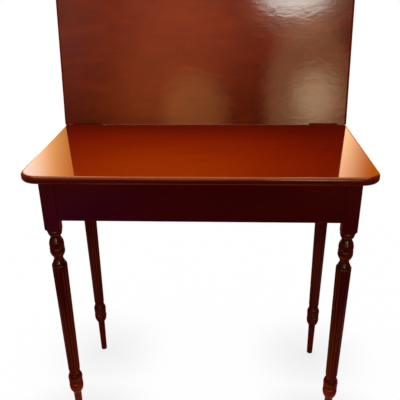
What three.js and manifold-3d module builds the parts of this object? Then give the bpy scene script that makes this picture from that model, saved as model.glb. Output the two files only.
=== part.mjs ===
// Fold-over card table with a swivelling top, in millimetres, +Z up.
// The origin is on the floor under the middle of the table as it stands here: the lower
// leaf over the frame, the upper leaf standing open. +X runs to the right along the hinge
// and +Y to the back. Two equal leaves are hinged along their long edge. The lower leaf
// turns a quarter turn on a pivot set off centre, so that the unfolded square top comes to
// rest centred on the frame, and turning it uncovers the well inside the frame.
import * as THREE from 'three';
import * as BufferGeometryUtils from 'three/addons/utils/BufferGeometryUtils.js';
import Module from 'manifold-3d';

const wasm = await Module();
wasm.setup();

// Leaves
const leafLength = 762;
const leafDepth = 381;
const leafThickness = 18;
const leafCornerRadius = 42;
const leafArrisRadius = 3.5;
const playingHeight = 750;
const restOpeningDegrees = 98;

// Gaps: where a piece is seated in a cut, where leaves meet, and how far a cut overruns
const seatGap = 0.3;
const hingeEdgeGap = 0.3;
const leafFaceGap = 0.3;
const runningGap = 0.3;
const cutOverrun = 5;

// Frame under the leaves: its rear face lines up with the rear edge of the lower leaf
const frameSideOverhang = 29.5;
const frameFrontOverhang = 44.5;
const frameGap = 3;
const apronHeight = 104;
const apronThickness = 20;
const apronReveal = 1;
const apronArrisRadius = 2;

// Legs: the square block at the top
const blockWidth = 35;
const blockLength = 131;
const blockArrisRadius = 1.8;
const blockChamfer = 12;
const shoulderHeight = 11;

// Legs: radii and rises of the turned stretch between block and shaft, from the shaft up
const collarRadius = 16.4;
const collarSwell = 1.3;
const collarRise = 2.6;
const flareRadius = 14.2;
const flareRise = 6;
const flareSwell = 0.9;
const lowNeckRadius = 10.7;
const lowNeckRise = 10;
const lowNeckHollow = 0.5;
const cupFootRadius = 11.9;
const cupFootRise = 5;
const cupRadius = 17;
const cupRise = 10.4;
const cupSwell = 0.7;
const cupLipRise = 7.5;
const cupLipSwell = 0.6;
const grooveRise = 0.8;
const ringGrooveRadius = 16.4;
const ringRise = 4.8;
const ringSwell = 1.3;
const bulbNeckRadius = 11.3;
const bulbRise = 27.6;
const bulbSwell = 2.7;
const bulbNeckRise = 1.5;
const ovoloRadius = 16;
const ovoloRise = 8.5;
const ovoloSwell = 0.8;
const topGrooveRadius = 15.4;
const topRingRadius = 16.7;
const topRingRise = 6.4;
const topRingSwell = 1;
const topFilletRise = 2.8;

// Legs: the reeded shaft
const reedCount = 12;
const reedDepth = 1.5;
const shaftTopRadius = 18.2;
const shaftFootRadius = 14.9;
const reedEndRise = 5;
const stepsPerReed = 4;

// Legs: radii and rises of the turned stretch under the shaft, from the floor up
const footRadius = 8.6;
const footTopRadius = 10.1;
const footRise = 105;
const footCoveRadius = 12.2;
const footCoveRise = 6;
const footCupRadius = 17.5;
const footCupRise = 14;
const footCupSwell = 1;
const lowBeadRadius = 17.4;
const lowBeadRise = 15;
const lowBeadSwell = 0.6;
const bandGrooveRadius = 16.7;
const bandRise = 9.4;
const bandSwell = 1.1;
const highBeadRadius = 17.6;
const highBeadRise = 21;
const highBeadSwell = 2;
const shaftNeckRadius = 14.2;
const shaftNeckRise = 9.5;
const shaftNeckHollow = 0.5;
const turnedSides = 16;

// Corner braces between the aprons, each with a bolt into the leg
const braceThickness = 18;
const braceHeight = 60;
const braceTopDrop = 15;
const braceStandOff = 4;
const legBoltRadius = 3;
const legBoltEmbed = 24;
const legBoltTail = 4;
const legNutFlats = 10;
const legNutHeight = 5;

// Well inside the frame
const ledgerSide = 15;
const ledgerRise = 4;
const wellPanelThickness = 6;
const wellPanelClearance = 1;

// Felt strips along the top of the aprons, under the leaves
const feltWidth = 14;
const feltThickness = 2.7;
const feltEndClearance = 6;

// Pivot: a flange with a stud under the lower leaf, through a board across the frame
const boardWidth = 120;
const boardThickness = 20;
const boardEndClearance = 0.5;
const boardCleatSide = 20;
const flangeRadius = 28;
const flangeThickness = 3;
const studRadius = 5;
const studTail = 3;
const slipRingRadius = 25;
const slipRingThickness = 1.2;
const washerRadius = 10.5;
const washerThickness = 2;
const lockNutFlats = 17;
const lockNutHeight = 8;
const boreClearance = 0.4;
const flangeScrewCircle = 19;
const flangeScrewCount = 4;

// Stop: a dowel in the lower leaf that runs in a quarter-circle slot in the pivot board
const stopDowelRadius = 5;
const stopDowelSocket = 10;
const stopDowelReach = 18;
const stopCircle = 37;
const stopStartDegrees = 225;
const swivelDegrees = 90;
const stopClearance = 0.5;

// Hinges: two butt hinges let into the long edges that meet
const hingeLength = 76;
const hingeInset = 62;
const hingePlateWidth = 15;
const hingePlateThickness = 1.8;
const knuckleRadius = 3.5;
const knuckleCount = 5;
const knuckleGap = 0.4;
const knuckleClearance = 0.6;
const hingePinRadius = 1.5;
const hingeScrewRow = 9.5;
const hingeScrewCount = 3;
const hingeScrewEndInset = 12;

// Countersunk screws
const screwHeadRadius = 3.2;
const screwHeadDepth = 1.6;
const screwShankRadius = 1.5;
const screwLength = 14;
const screwPoint = 3;

// Facets on round work
const screwSides = 8;
const pinSides = 12;
const discSides = 32;
const arcSteps = 6;
const arrisSteps = 3;

// Places worked out from the sizes above
const restOpening = THREE.MathUtils.degToRad(restOpeningDegrees);
const tiltedReach = leafArrisRadius
  - (hingeEdgeGap + leafDepth - leafArrisRadius) * Math.cos(restOpening)
  + (leafFaceGap + leafThickness - leafArrisRadius) * Math.sin(restOpening);
const overallDepth = leafDepth + hingeEdgeGap + tiltedReach;
const leafFrontY = -overallDepth / 2;
const leafRearY = leafFrontY + leafDepth;
const hingeY = leafRearY + hingeEdgeGap;
const hingeZ = playingHeight + leafFaceGap;
const leafUnderside = playingHeight - leafThickness;
const frameTop = leafUnderside - frameGap;
const frameHalfWidth = leafLength / 2 - frameSideOverhang;
const frameFrontY = leafFrontY + frameFrontOverhang;
const frameMiddleY = (frameFrontY + leafRearY) / 2;
const legX = frameHalfWidth - blockWidth / 2;
const legFrontY = frameFrontY + blockWidth / 2;
const legRearY = leafRearY - blockWidth / 2;
const apronInset = apronReveal + apronThickness;
const apronBottom = frameTop - apronHeight;
const innerHalfWidth = frameHalfWidth - apronInset;
const innerFrontY = frameFrontY + apronInset;
const innerRearY = leafRearY - apronInset;
const pivotX = (hingeY - frameMiddleY) / 2;
const pivotY = frameMiddleY + pivotX;
const flangeUnderside = leafUnderside - flangeThickness;
const boardTop = flangeUnderside - runningGap - slipRingThickness;
const boardBottom = boardTop - boardThickness;
const washerTop = boardBottom - runningGap;
const nutTop = washerTop - washerThickness;
const studBottom = nutTop - lockNutHeight - studTail;

// Finishes: colour, roughness and metalness
const finishes = {
  leafVeneer: { color: 0x7a2a12, roughness: 0.18, metalness: 0 },
  frameLacquer: { color: 0x3a0c0a, roughness: 0.24, metalness: 0 },
  plainHardwood: { color: 0x9c7248, roughness: 0.7, metalness: 0 },
  plywood: { color: 0xb08a5c, roughness: 0.75, metalness: 0 },
  brass: { color: 0xb08b45, roughness: 0.35, metalness: 1 },
  zincSteel: { color: 0x9da0a3, roughness: 0.4, metalness: 1 },
  nylon: { color: 0xe8e4d8, roughness: 0.5, metalness: 0 },
  felt: { color: 0x2a1d18, roughness: 0.95, metalness: 0 },
};

// A solid for joining and cutting, from any closed geometry
function solid(geometry) {
  const bare = geometry.index ? geometry.toNonIndexed() : geometry.clone();
  bare.deleteAttribute('normal');
  bare.deleteAttribute('uv');
  const merged = BufferGeometryUtils.mergeVertices(bare, 1e-4);
  const mesh = new wasm.Mesh({
    numProp: 3,
    vertProperties: new Float32Array(merged.attributes.position.array),
    triVerts: new Uint32Array(merged.index.array),
  });
  return new wasm.Manifold(mesh);
}

// The geometry of a solid after joins and cuts
function geometryOf(manifold) {
  const mesh = manifold.getMesh();
  const geometry = new THREE.BufferGeometry();
  geometry.setAttribute('position', new THREE.BufferAttribute(mesh.vertProperties, mesh.numProp));
  geometry.setIndex(new THREE.BufferAttribute(mesh.triVerts, 1));
  geometry.computeVertexNormals();
  return geometry;
}

// One named sub-part in its group
function addPiece(group, name, shape, finish) {
  const geometry = shape.isBufferGeometry ? shape : geometryOf(shape);
  const mesh = new THREE.Mesh(geometry, new THREE.MeshStandardMaterial(finishes[finish]));
  mesh.name = name;
  group.add(mesh);
  return mesh;
}

// A box between two corners
function boxBetween(x0, y0, z0, x1, y1, z1) {
  const geometry = new THREE.BoxGeometry(x1 - x0, y1 - y0, z1 - z0);
  return geometry.translate((x0 + x1) / 2, (y0 + y1) / 2, (z0 + z1) / 2);
}

// A plan outline raised from one height to another
function prism(outline, bottom, top) {
  const geometry = new THREE.ExtrudeGeometry(outline, {
    depth: top - bottom, bevelEnabled: false, curveSegments: arrisSteps,
  });
  return geometry.translate(0, 0, bottom);
}

// A solid of revolution about Z, its profile given as [radius, height] from the bottom up
function revolve(profile, sides) {
  const points = profile.map(([radius, height]) => new THREE.Vector2(radius, height));
  return new THREE.LatheGeometry(points, sides).rotateX(Math.PI / 2);
}

// A round bar about Z between two heights
function bar(radius, bottom, top, sides) {
  return revolve([[0, bottom], [radius, bottom], [radius, top], [0, top]], sides);
}

// A hexagon nut about Z, with its bore
function hexNut(acrossFlats, height, boreRadius) {
  const corner = acrossFlats / 2 / Math.cos(Math.PI / 6);
  return solid(bar(corner, 0, height, 6))
    .subtract(solid(bar(boreRadius, -cutOverrun, height + cutOverrun, pinSides)));
}

// A countersunk screw about Z, its head flush with zero and its point down
function screw() {
  const shankEnd = screwPoint - screwLength;
  return revolve([
    [0, -screwLength],
    [screwShankRadius, shankEnd],
    [screwShankRadius, -screwHeadDepth],
    [screwHeadRadius, 0],
    [0, 0],
  ], screwSides);
}

// The hole that the screw sits in, a seat gap larger all round
function screwHole() {
  return revolve([
    [0, -screwLength - seatGap],
    [screwShankRadius + seatGap, -screwLength - seatGap],
    [screwShankRadius + seatGap, -screwHeadDepth],
    [screwHeadRadius + seatGap, 0],
    [screwHeadRadius + seatGap, cutOverrun],
    [0, cutOverrun],
  ], screwSides);
}

// Where the hinges sit along the leaves, and their screws along each hinge
const hingeCentres = [-1, 1].map((side) => side * (leafLength / 2 - hingeInset));
const hingeScrewSpan = hingeLength - 2 * hingeScrewEndInset;
const hingeScrewPlaces = Array.from({ length: hingeScrewCount },
  (_, i) => hingeScrewSpan * (i / (hingeScrewCount - 1) - 1 / 2));

// Where the flange screws sit round the pivot
const flangeScrewPlaces = Array.from({ length: flangeScrewCount }, (_, i) => {
  const angle = (i * 2 * Math.PI) / flangeScrewCount;
  return [flangeScrewCircle * Math.cos(angle), flangeScrewCircle * Math.sin(angle)];
});

// A leaf, with the hinge axis as its origin: it lies in front of the axis with its playing
// face up. The hinge edge stays square; the other three edges have eased arrises.
function leafSolid() {
  const halfLength = leafLength / 2;
  const front = -hingeEdgeGap - leafDepth;
  const rear = -hingeEdgeGap;
  const outline = new THREE.Shape();
  outline.moveTo(-halfLength, rear + cutOverrun);
  outline.lineTo(-halfLength, front + leafCornerRadius);
  outline.absarc(-halfLength + leafCornerRadius, front + leafCornerRadius, leafCornerRadius,
    Math.PI, 1.5 * Math.PI);
  outline.absarc(halfLength - leafCornerRadius, front + leafCornerRadius, leafCornerRadius,
    1.5 * Math.PI, 2 * Math.PI);
  outline.lineTo(halfLength, rear + cutOverrun);
  outline.closePath();
  const slab = new THREE.ExtrudeGeometry(outline, {
    depth: leafThickness - 2 * leafArrisRadius,
    bevelThickness: leafArrisRadius,
    bevelSize: leafArrisRadius,
    bevelOffset: -leafArrisRadius,
    bevelSegments: arrisSteps,
    curveSegments: arcSteps,
  });
  slab.translate(0, 0, -leafFaceGap - leafThickness + leafArrisRadius);
  const behindEdge = boxBetween(-leafLength, rear, -leafThickness - cutOverrun,
    leafLength, leafThickness, cutOverrun);
  let leaf = solid(slab).subtract(solid(behindEdge));
  for (const x of hingeCentres) leaf = leaf.subtract(hingeRecess(x));
  return leaf;
}

// What a hinge takes out of the leaf: the housing of its plate, the trough of its knuckles
// and the pilot holes of its screws
function hingeRecess(x) {
  const halfLength = hingeLength / 2 + seatGap;
  const housing = boxBetween(x - halfLength, -hingeEdgeGap - hingePlateThickness - seatGap,
    -hingePlateWidth - seatGap, x + halfLength, cutOverrun, cutOverrun);
  const trough = bar(knuckleRadius + knuckleClearance, -halfLength, halfLength, pinSides)
    .rotateY(Math.PI / 2).translate(x, 0, 0);
  let recess = solid(housing).add(solid(trough));
  for (const place of hingeScrewPlaces) {
    const hole = screwHole().rotateX(-Math.PI / 2)
      .translate(x + place, -hingeEdgeGap, -hingeScrewRow);
    recess = recess.add(solid(hole));
  }
  return recess;
}

// The lower leaf, with the pilot holes of the flange screws and the socket of the stop dowel
function lowerLeaf() {
  const underside = -leafFaceGap - leafThickness;
  const pivot = [pivotX, pivotY - hingeY];
  let leaf = leafSolid();
  for (const [x, y] of flangeScrewPlaces) {
    const hole = bar(screwShankRadius + seatGap, underside - cutOverrun,
      underside - flangeThickness + screwLength + seatGap, screwSides);
    leaf = leaf.subtract(solid(hole.translate(pivot[0] + x, pivot[1] + y, 0)));
  }
  const [stopX, stopY] = stopPlace();
  const socket = bar(stopDowelRadius + seatGap, underside - cutOverrun,
    underside + stopDowelSocket + seatGap, pinSides);
  return leaf.subtract(solid(socket.translate(pivot[0] + stopX, pivot[1] + stopY, 0)));
}

// Where the stop dowel sits from the pivot, with the top over the frame
function stopPlace() {
  const angle = THREE.MathUtils.degToRad(stopStartDegrees);
  return [stopCircle * Math.cos(angle), stopCircle * Math.sin(angle)];
}

// One half of a hinge about its axis along X, with its plate hanging down the leaf's edge:
// an odd half has the outer and middle knuckles, an even half the ones between
function hingeHalf(isOdd) {
  const pitch = (hingeLength + knuckleGap) / knuckleCount;
  const plateFront = -hingeEdgeGap - hingePlateThickness;
  const plateTop = -knuckleRadius - knuckleClearance;
  let half = solid(boxBetween(-hingeLength / 2, plateFront, -hingePlateWidth,
    hingeLength / 2, -hingeEdgeGap, plateTop));
  for (let i = isOdd ? 0 : 1; i < knuckleCount; i += 2) {
    const start = -hingeLength / 2 + i * pitch;
    const end = start + pitch - knuckleGap;
    const tab = boxBetween(start, plateFront, plateTop - knuckleRadius, end, -hingeEdgeGap, 0);
    const knuckle = bar(knuckleRadius, start, end, pinSides).rotateY(Math.PI / 2);
    half = half.add(solid(tab)).add(solid(knuckle));
  }
  const bore = bar(hingePinRadius + runningGap, -hingeLength, hingeLength, pinSides);
  half = half.subtract(solid(bore.rotateY(Math.PI / 2)));
  for (const place of hingeScrewPlaces) {
    const hole = screwHole().rotateX(-Math.PI / 2).translate(place, -hingeEdgeGap, -hingeScrewRow);
    half = half.subtract(solid(hole));
  }
  return half;
}

// The hinge screws, driven into the leaf's edge through the plate
function addHingeScrews(group, side, leaf, x) {
  hingeScrewPlaces.forEach((place, i) => {
    const mesh = addPiece(group, `hinge_screw_${side}_${leaf}_${i + 1}`, screw(), 'brass');
    mesh.rotation.x = -Math.PI / 2;
    mesh.position.set(x + place, -hingeEdgeGap, -hingeScrewRow);
  });
}

// A turned profile from the bottom up: each stretch climbs by a rise to a new radius, and
// its swell rounds the line between as a half sine, outwards, or inwards below zero
function turnedProfile(startHeight, startRadius, stretches) {
  const profile = [[0, startHeight], [startRadius, startHeight]];
  let height = startHeight;
  let radius = startRadius;
  for (const { rise, to, swell = 0, steps = 1 } of stretches) {
    for (let step = 1; step <= steps; step++) {
      const share = step / steps;
      const line = radius + (to - radius) * share;
      profile.push([line + swell * Math.sin(Math.PI * share), height + rise * share]);
    }
    height += rise;
    radius = to;
  }
  profile.push([0, height]);
  return profile;
}

// The turned stretch from the floor to just inside the shaft
const lowerTurning = [
  { rise: footRise, to: footTopRadius },
  { rise: footCoveRise, to: footCoveRadius },
  { rise: footCupRise, to: footCupRadius, swell: footCupSwell, steps: 3 },
  { rise: lowBeadRise, to: lowBeadRadius, swell: lowBeadSwell, steps: 2 },
  { rise: grooveRise, to: bandGrooveRadius },
  { rise: bandRise, to: bandGrooveRadius, swell: bandSwell, steps: 2 },
  { rise: grooveRise, to: highBeadRadius },
  { rise: highBeadRise, to: shaftNeckRadius, swell: highBeadSwell, steps: 4 },
  { rise: shaftNeckRise, to: shaftNeckRadius, swell: -shaftNeckHollow, steps: 2 },
];

// The turned stretch from the top of the shaft to the block
const upperTurning = [
  { rise: collarRise, to: collarRadius, swell: collarSwell, steps: 2 },
  { rise: flareRise, to: flareRadius, swell: flareSwell, steps: 2 },
  { rise: lowNeckRise, to: lowNeckRadius, swell: -lowNeckHollow, steps: 2 },
  { rise: cupFootRise, to: cupFootRadius },
  { rise: cupRise, to: cupRadius, swell: cupSwell, steps: 3 },
  { rise: cupLipRise, to: cupRadius, swell: cupLipSwell, steps: 2 },
  { rise: grooveRise, to: ringGrooveRadius },
  { rise: ringRise, to: ringGrooveRadius, swell: ringSwell, steps: 2 },
  { rise: grooveRise, to: ringGrooveRadius },
  { rise: bulbRise, to: bulbNeckRadius, swell: bulbSwell, steps: 6 },
  { rise: bulbNeckRise, to: bulbNeckRadius },
  { rise: ovoloRise, to: ovoloRadius, swell: ovoloSwell, steps: 2 },
  { rise: grooveRise, to: topGrooveRadius },
  { rise: topRingRise, to: topRingRadius, swell: topRingSwell, steps: 2 },
  { rise: topFilletRise, to: blockWidth / 2 },
];

const sumOfRises = (stretches) => stretches.reduce((sum, { rise }) => sum + rise, 0);
const blockBottom = frameTop - blockLength;
const shaftBottom = sumOfRises(lowerTurning);
const shaftTop = blockBottom - sumOfRises(upperTurning);

// The reeded shaft: rows of one lobed ring, from the neck over the reeds' rounded ends
function reededShaft() {
  const rows = [
    { height: shaftBottom, crestShare: 0 },
    { height: shaftBottom + reedEndRise, crestShare: 1 },
    { height: shaftTop - reedEndRise / 2, crestShare: 1 },
    { height: shaftTop, crestShare: 0.4 },
  ];
  const around = reedCount * stepsPerReed;
  const vertices = [];
  for (const { height, crestShare } of rows) {
    const climb = (height - shaftBottom) / (shaftTop - shaftBottom);
    const valley = shaftFootRadius + (shaftTopRadius - shaftFootRadius) * climb - reedDepth;
    for (let i = 0; i < around; i++) {
      const angle = (2 * Math.PI * i) / around;
      const across = 2 * (((i + stepsPerReed / 2) % stepsPerReed) / stepsPerReed) - 1;
      const radius = valley + reedDepth * crestShare * Math.sqrt(1 - across * across);
      vertices.push(radius * Math.sin(angle), -radius * Math.cos(angle), height);
    }
  }
  const triangles = [];
  for (let row = 0; row + 1 < rows.length; row++) {
    for (let i = 0; i < around; i++) {
      const next = (i + 1) % around;
      const low = row * around;
      const high = low + around;
      triangles.push(low + i, low + next, high + next, low + i, high + next, high + i);
    }
  }
  const bottomCentre = vertices.length / 3;
  vertices.push(0, 0, shaftBottom);
  const topCentre = bottomCentre + 1;
  vertices.push(0, 0, shaftTop);
  const topRow = (rows.length - 1) * around;
  for (let i = 0; i < around; i++) {
    const next = (i + 1) % around;
    triangles.push(bottomCentre, next, i, topCentre, topRow + i, topRow + next);
  }
  const geometry = new THREE.BufferGeometry();
  geometry.setAttribute('position', new THREE.Float32BufferAttribute(vertices, 3));
  geometry.setIndex(triangles);
  return geometry;
}

// The square block: eased arrises, the inner corner cut back for the brace bolt, and the
// shoulders turned round at the lower end
function legBlock() {
  const half = blockWidth / 2;
  const r = blockArrisRadius;
  const plan = new THREE.Shape();
  plan.moveTo(-half + r, -half);
  plan.absarc(half - r, -half + r, r, 1.5 * Math.PI, 2 * Math.PI);
  plan.lineTo(half, half - blockChamfer);
  plan.lineTo(half - blockChamfer, half);
  plan.absarc(-half + r, half - r, r, 0.5 * Math.PI, Math.PI);
  plan.absarc(-half + r, -half + r, r, Math.PI, 1.5 * Math.PI);
  plan.closePath();
  const cornerReach = blockWidth / Math.SQRT2;
  const shoulder = [[0, blockBottom], [half, blockBottom]];
  for (let step = 1; step <= arcSteps; step++) {
    const angle = (step / arcSteps) * Math.PI / 2;
    shoulder.push([
      half + (cornerReach - half) * Math.sin(angle),
      blockBottom + shoulderHeight * (1 - Math.cos(angle)),
    ]);
  }
  shoulder.push([cornerReach, frameTop + cutOverrun], [0, frameTop + cutOverrun]);
  return solid(prism(plan, blockBottom, frameTop)).intersect(solid(revolve(shoulder, turnedSides)));
}

// Distances along the diagonal of a corner, from the leg's axis towards the middle
const chamferReach = (blockWidth - blockChamfer) / Math.SQRT2;
const braceNear = chamferReach + braceStandOff;
const braceFar = braceNear + braceThickness;
const braceTop = frameTop - braceTopDrop;
const braceMiddle = braceTop - braceHeight / 2;

// A bar along that diagonal at the height of the bolt, turned from one about Z
function alongDiagonal(geometry) {
  return geometry.rotateY(Math.PI / 2).rotateZ(Math.PI / 4).translate(0, 0, braceMiddle);
}

// A whole leg about its own axis, one reed facing the front
function leg() {
  const overlap = reedEndRise;
  const lower = turnedProfile(0, footRadius, lowerTurning);
  lower.splice(-1, 1, [shaftNeckRadius - reedDepth, shaftBottom + overlap], [0, shaftBottom + overlap]);
  const upper = turnedProfile(shaftTop - overlap, collarRadius,
    [{ rise: overlap, to: collarRadius }, ...upperTurning]);
  upper.splice(-1, 1, [blockWidth / 2 - blockArrisRadius, blockBottom + shoulderHeight],
    [0, blockBottom + shoulderHeight]);
  const boltHole = alongDiagonal(bar(legBoltRadius + seatGap,
    chamferReach - legBoltEmbed - seatGap, chamferReach + blockWidth, pinSides));
  return solid(revolve(lower, turnedSides))
    .add(solid(reededShaft()))
    .add(solid(revolve(upper, turnedSides)))
    .add(legBlock())
    .subtract(solid(boltHole));
}

// The brace across a corner, mitred to the inner faces of the two aprons
function cornerBrace() {
  const wall = apronInset - blockWidth / 2 + seatGap;
  const near = braceNear * Math.SQRT2 - wall;
  const far = braceFar * Math.SQRT2 - wall;
  const plan = new THREE.Shape();
  plan.moveTo(wall, near);
  plan.lineTo(near, wall);
  plan.lineTo(far, wall);
  plan.lineTo(wall, far);
  plan.closePath();
  const hole = alongDiagonal(bar(legBoltRadius + boreClearance, 0, braceFar + blockWidth, pinSides));
  return solid(prism(plan, braceTop - braceHeight, braceTop)).subtract(solid(hole));
}

// One corner of the frame: its leg, brace, bolt and nut, about the leg's axis
function addCorner(frame, name, x, y, quarterTurns) {
  const corner = new THREE.Group();
  corner.position.set(x, y, 0);
  corner.rotation.z = (quarterTurns * Math.PI) / 2;
  addPiece(corner, `leg_${name}`, leg(), 'frameLacquer');
  addPiece(corner, `corner_brace_${name}`, cornerBrace(), 'plainHardwood');
  const boltEnd = braceFar + legNutHeight + legBoltTail;
  const bolt = bar(legBoltRadius, chamferReach - legBoltEmbed, boltEnd, pinSides);
  addPiece(corner, `leg_bolt_${name}`, alongDiagonal(bolt), 'zincSteel');
  const nut = geometryOf(hexNut(legNutFlats, legNutHeight, legBoltRadius + seatGap));
  nut.translate(0, 0, braceFar + seatGap);
  addPiece(corner, `leg_nut_${name}`, alongDiagonal(nut), 'zincSteel');
  frame.add(corner);
}

// An apron of a given length, its outer face towards -Y at zero, its lower outer arris eased
function apron(length) {
  const r = apronArrisRadius;
  const section = new THREE.Shape();
  section.moveTo(0, apronBottom + r);
  section.absarc(r, apronBottom + r, r, Math.PI, 1.5 * Math.PI);
  section.lineTo(apronThickness, apronBottom);
  section.lineTo(apronThickness, frameTop);
  section.lineTo(0, frameTop);
  section.closePath();
  const geometry = new THREE.ExtrudeGeometry(section, {
    depth: length, bevelEnabled: false, curveSegments: arrisSteps,
  });
  geometry.translate(0, 0, -length / 2);
  return geometry.rotateX(Math.PI / 2).rotateZ(Math.PI / 2);
}

// Aprons between the leg blocks, each turned so that its outer face looks outwards
function addAprons(frame) {
  const longLength = 2 * (frameHalfWidth - blockWidth - seatGap);
  const shortLength = leafRearY - frameFrontY - 2 * (blockWidth + seatGap);
  const places = [
    ['front_apron', longLength, 0, frameFrontY + apronReveal, 0],
    ['rear_apron', longLength, 0, leafRearY - apronReveal, 2],
    ['left_apron', shortLength, -frameHalfWidth + apronReveal, frameMiddleY, 3],
    ['right_apron', shortLength, frameHalfWidth - apronReveal, frameMiddleY, 1],
  ];
  for (const [name, length, x, y, quarterTurns] of places) {
    const mesh = addPiece(frame, name, apron(length), 'frameLacquer');
    mesh.rotation.z = (quarterTurns * Math.PI) / 2;
    mesh.position.set(x, y, 0);
  }
}

// The well: a thin panel on two ledgers, its corners clipped to clear the chamfered blocks
function addWell(frame) {
  const ledgerBottom = apronBottom + ledgerRise;
  const ledgerTop = ledgerBottom + ledgerSide;
  const ledgerHalf = frameHalfWidth - blockWidth - seatGap;
  addPiece(frame, 'well_ledger_front', boxBetween(-ledgerHalf, innerFrontY, ledgerBottom,
    ledgerHalf, innerFrontY + ledgerSide, ledgerTop), 'plainHardwood');
  addPiece(frame, 'well_ledger_rear', boxBetween(-ledgerHalf, innerRearY - ledgerSide, ledgerBottom,
    ledgerHalf, innerRearY, ledgerTop), 'plainHardwood');
  const x = innerHalfWidth - wellPanelClearance;
  const front = innerFrontY + wellPanelClearance;
  const rear = innerRearY - wellPanelClearance;
  const clip = 2 * blockWidth - blockChamfer - 2 * apronInset;
  const outline = new THREE.Shape();
  outline.moveTo(-x + clip, front);
  outline.lineTo(x - clip, front);
  outline.lineTo(x, front + clip);
  outline.lineTo(x, rear - clip);
  outline.lineTo(x - clip, rear);
  outline.lineTo(-x + clip, rear);
  outline.lineTo(-x, rear - clip);
  outline.lineTo(-x, front + clip);
  outline.closePath();
  addPiece(frame, 'well_panel', prism(outline, ledgerTop, ledgerTop + wellPanelThickness), 'plywood');
}

// Felt strips that the leaves glide on, one along each apron
function addFelt(frame) {
  const longHalf = frameHalfWidth - blockWidth - feltEndClearance;
  const shortHalf = (leafRearY - frameFrontY) / 2 - blockWidth - feltEndClearance;
  const edge = apronReveal + (apronThickness - feltWidth) / 2;
  const top = frameTop + feltThickness;
  const left = -frameHalfWidth + edge;
  const front = frameFrontY + edge;
  const rear = leafRearY - edge;
  addPiece(frame, 'felt_strip_front', boxBetween(-longHalf, front, frameTop,
    longHalf, front + feltWidth, top), 'felt');
  addPiece(frame, 'felt_strip_rear', boxBetween(-longHalf, rear - feltWidth, frameTop,
    longHalf, rear, top), 'felt');
  addPiece(frame, 'felt_strip_left', boxBetween(left, frameMiddleY - shortHalf, frameTop,
    left + feltWidth, frameMiddleY + shortHalf, top), 'felt');
  addPiece(frame, 'felt_strip_right', boxBetween(-left - feltWidth, frameMiddleY - shortHalf,
    frameTop, -left, frameMiddleY + shortHalf, top), 'felt');
}

// The pivot board with the bore of the stud and the slot of the stop dowel
function pivotBoard() {
  const halfWidth = boardWidth / 2;
  const front = innerFrontY + boardEndClearance - pivotY;
  const rear = innerRearY - boardEndClearance - pivotY;
  const outline = new THREE.Shape();
  outline.moveTo(-halfWidth, front);
  outline.lineTo(halfWidth, front);
  outline.lineTo(halfWidth, rear);
  outline.lineTo(-halfWidth, rear);
  outline.closePath();
  const bore = new THREE.Path();
  bore.absarc(0, 0, studRadius + boreClearance, 0, 2 * Math.PI, true);
  const start = THREE.MathUtils.degToRad(stopStartDegrees);
  const end = start + THREE.MathUtils.degToRad(swivelDegrees);
  const half = stopDowelRadius + stopClearance;
  const slot = new THREE.Path();
  slot.absarc(0, 0, stopCircle + half, start, end);
  slot.absarc(stopCircle * Math.cos(end), stopCircle * Math.sin(end), half, end, end + Math.PI);
  slot.absarc(0, 0, stopCircle - half, end, start, true);
  slot.absarc(stopCircle * Math.cos(start), stopCircle * Math.sin(start), half,
    start + Math.PI, start + 2 * Math.PI);
  outline.holes.push(bore, slot);
  const geometry = new THREE.ExtrudeGeometry(outline, {
    depth: boardThickness, bevelEnabled: false, curveSegments: arcSteps,
  });
  return geometry.translate(pivotX, pivotY, boardBottom);
}

// The pivot board on its cleats, with the slip ring that the flange turns on
function addPivotBoard(frame) {
  addPiece(frame, 'pivot_board', pivotBoard(), 'plainHardwood');
  const left = pivotX - boardWidth / 2;
  const right = pivotX + boardWidth / 2;
  const bottom = boardBottom - boardCleatSide;
  addPiece(frame, 'board_cleat_front', boxBetween(left, innerFrontY, bottom,
    right, innerFrontY + boardCleatSide, boardBottom), 'plainHardwood');
  addPiece(frame, 'board_cleat_rear', boxBetween(left, innerRearY - boardCleatSide, bottom,
    right, innerRearY, boardBottom), 'plainHardwood');
  const ring = solid(bar(slipRingRadius, boardTop, boardTop + slipRingThickness, discSides))
    .subtract(solid(bar(studRadius + boreClearance, 0, playingHeight, pinSides)));
  addPiece(frame, 'slip_ring', ring, 'nylon').position.set(pivotX, pivotY, 0);
}

// The pivot under the lower leaf: flange with stud, its screws, washer and lock nut, and
// the stop dowel
function addPivot(top) {
  const pivot = new THREE.Group();
  pivot.position.set(pivotX, pivotY, 0);
  let flange = solid(revolve([
    [0, studBottom], [studRadius, studBottom], [studRadius, flangeUnderside],
    [flangeRadius, flangeUnderside], [flangeRadius, leafUnderside], [0, leafUnderside],
  ], discSides));
  flangeScrewPlaces.forEach(([x, y], i) => {
    const hole = screwHole().rotateX(Math.PI).translate(x, y, flangeUnderside);
    flange = flange.subtract(solid(hole));
    const mesh = addPiece(pivot, `flange_screw_${i + 1}`, screw(), 'zincSteel');
    mesh.rotation.x = Math.PI;
    mesh.position.set(x, y, flangeUnderside);
  });
  addPiece(pivot, 'pivot_flange', flange, 'zincSteel');
  const washer = solid(bar(washerRadius, nutTop, washerTop, discSides))
    .subtract(solid(bar(studRadius + boreClearance, 0, playingHeight, pinSides)));
  addPiece(pivot, 'pivot_washer', washer, 'zincSteel');
  const nut = hexNut(lockNutFlats, lockNutHeight, studRadius + seatGap);
  addPiece(pivot, 'pivot_lock_nut', nut, 'zincSteel').position.z = nutTop - lockNutHeight;
  const dowel = bar(stopDowelRadius, leafUnderside - stopDowelReach,
    leafUnderside + stopDowelSocket, pinSides);
  const [stopX, stopY] = stopPlace();
  addPiece(pivot, 'stop_dowel', dowel, 'plainHardwood').position.set(stopX, stopY, 0);
  top.add(pivot);
}

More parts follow.
